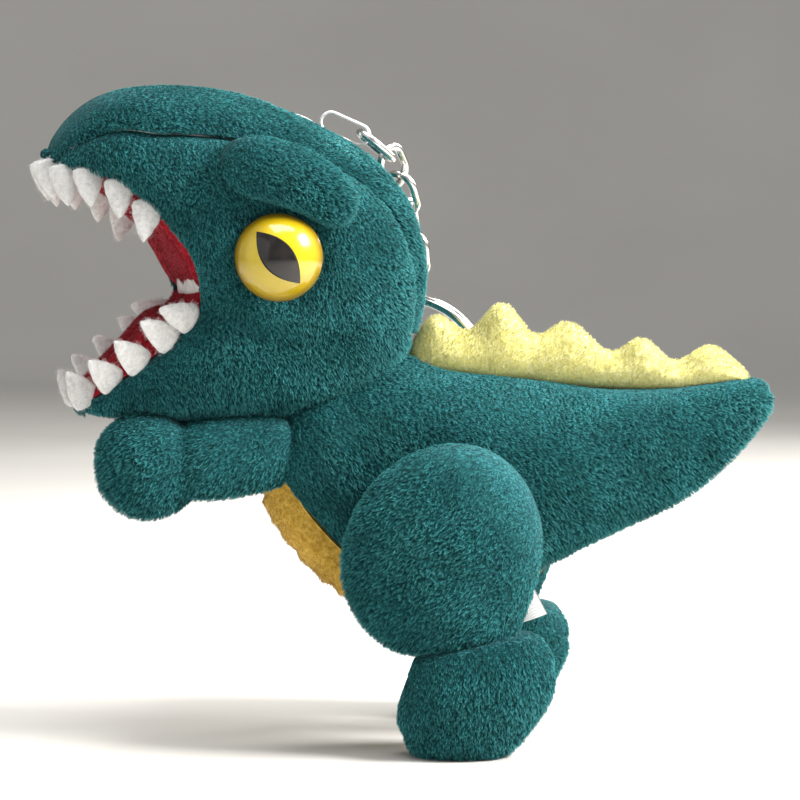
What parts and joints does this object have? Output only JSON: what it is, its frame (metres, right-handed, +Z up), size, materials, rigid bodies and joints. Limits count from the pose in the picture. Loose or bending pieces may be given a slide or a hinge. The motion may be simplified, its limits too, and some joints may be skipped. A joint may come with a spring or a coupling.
{
  "type": "plush keychain",
  "caption": "Small stuffed toy dinosaur with an open toothed mouth, hung on a ribbon loop, a short chain and a split key ring.",
  "frame": {"origin": "centre of the toy's bounding box at the level of its soles", "axes": "+Z up, -X the way the snout points, -Y the left side of the toy"},
  "size_m": [0.1218, 0.0598, 0.1077],
  "materials": {
    "teal_plush": "short-pile plush",
    "belly_yellow": "short-pile plush",
    "spike_yellow": "short-pile plush",
    "red_fleece": "brushed fleece",
    "white_felt": "fuzzy felt",
    "eye_yellow": "polished",
    "pupil_black": "polished",
    "washer": "moulded",
    "stuffing": "fibre fill",
    "ribbon": "woven ribbon",
    "label_satin": "satin",
    "nickel_wire": "polished nickel"
  },
  "bodies": {
    "toy": {"head_side_left": "teal_plush", "head_side_right": "teal_plush", "head_top_gusset": "teal_plush", "mouth_lining_upper": "red_fleece", "mouth_lining_lower": "red_fleece", "upper_teeth": "white_felt", "lower_teeth": "white_felt", "brow_left": "teal_plush", "brow_right": "teal_plush", "eye_left": "eye_yellow", "eye_right": "eye_yellow", "pupil_left": "pupil_black", "pupil_right": "pupil_black", "eye_washer_left": "washer", "eye_washer_right": "washer", "head_stuffing": "stuffing", "body_side_left": "teal_plush", "body_side_right": "teal_plush", "belly_panel": "belly_yellow", "body_stuffing": "stuffing", "back_spikes": "spike_yellow", "ribbon_tab": "ribbon"},
    "arm_left": {"arm_outer_left": "teal_plush", "arm_inner_left": "teal_plush", "arm_stuffing_left": "stuffing"},
    "arm_right": {"arm_outer_right": "teal_plush", "arm_inner_right": "teal_plush", "arm_stuffing_right": "stuffing"},
    "leg_left": {"thigh_left": "teal_plush", "foot_left": "teal_plush", "thigh_stuffing_left": "stuffing", "foot_stuffing_left": "stuffing"},
    "leg_right": {"thigh_right": "teal_plush", "foot_right": "teal_plush", "thigh_stuffing_right": "stuffing", "foot_stuffing_right": "stuffing"},
    "label": {"care_label": "label_satin"},
    "ribbon_loop": {"hanging_loop": "ribbon"},
    "link_1": {"chain_link_1": "nickel_wire"},
    "link_2": {"chain_link_2": "nickel_wire"},
    "link_3": {"chain_link_3": "nickel_wire"},
    "link_4": {"chain_link_4": "nickel_wire"},
    "link_5": {"chain_link_5": "nickel_wire"},
    "link_6": {"chain_link_6": "nickel_wire"},
    "key_ring": {"split_ring": "nickel_wire"}
  },
  "joints": [
    {"name": "arm_left_swing", "type": "hinge", "parent": "toy", "child": "arm_left", "pos_m": [-0.0226, -0.0166, 0.0474], "axis": [0, 1, 0], "range_deg": [-40, 0], "stiffness_Nm_per_rad": 0.02},
    {"name": "arm_right_swing", "type": "hinge", "parent": "toy", "child": "arm_right", "pos_m": [-0.0226, 0.0166, 0.0474], "axis": [0, 1, 0], "range_deg": [-40, 15], "stiffness_Nm_per_rad": 0.02},
    {"name": "leg_left_swing", "type": "hinge", "parent": "toy", "child": "leg_left", "pos_m": [0.007, -0.0166, 0.033], "axis": [0, 1, 0], "range_deg": [-15, 15], "stiffness_Nm_per_rad": 0.3},
    {"name": "leg_right_swing", "type": "hinge", "parent": "toy", "child": "leg_right", "pos_m": [0.012, 0.0166, 0.033], "axis": [0, 1, 0], "range_deg": [-15, 15], "stiffness_Nm_per_rad": 0.3},
    {"name": "label_bend", "type": "hinge", "parent": "toy", "child": "label", "pos_m": [0.0185, -0.00525, 0.02475], "axis": [0.8944, 0, 0.4472], "range_deg": [-35, 35], "stiffness_Nm_per_rad": 0.0005},
    {"name": "loop_fold", "type": "hinge", "parent": "toy", "child": "ribbon_loop", "pos_m": [-0.0132, 0, 0.1029], "axis": [0, 1, 0], "range_deg": [-45, 0]},
    {"name": "link_1_swing", "type": "hinge", "parent": "ribbon_loop", "child": "link_1", "pos_m": [-0.00521, 0, 0.09934], "axis": [0, 1, 0], "range_deg": [-35, 0]},
    {"name": "link_2_swing", "type": "hinge", "parent": "link_1", "child": "link_2", "pos_m": [-0.00186, 0.00399, 0.09646], "axis": [-0.5626, 0.7395, 0.3696], "range_deg": [-35, 0]},
    {"name": "link_3_swing", "type": "hinge", "parent": "link_2", "child": "link_3", "pos_m": [-0.00002, 0.00793, 0.0924], "axis": [-0.5808, -0.4363, -0.6872], "range_deg": [-18, 0]},
    {"name": "link_4_swing", "type": "hinge", "parent": "link_3", "child": "link_4", "pos_m": [0.00129, 0.01117, 0.08758], "axis": [-0.8172, 0.556, 0.1521], "range_deg": [-35, 0]},
    {"name": "link_5_swing", "type": "hinge", "parent": "link_4", "child": "link_5", "pos_m": [0.00199, 0.01349, 0.08215], "axis": [-0.4291, -0.8096, -0.4006], "range_deg": [-20, 0]},
    {"name": "link_6_swing", "type": "hinge", "parent": "link_5", "child": "link_6", "pos_m": [0.00244, 0.01486, 0.07638], "axis": [-0.9213, 0.3883, 0.0211], "range_deg": [-35, 0]},
    {"name": "ring_swing", "type": "hinge", "parent": "link_6", "child": "key_ring", "pos_m": [0.00285, 0.01557, 0.07048], "axis": [-0.4951, -0.8576, -0.1392], "range_deg": [-12, 0]}
  ]
}
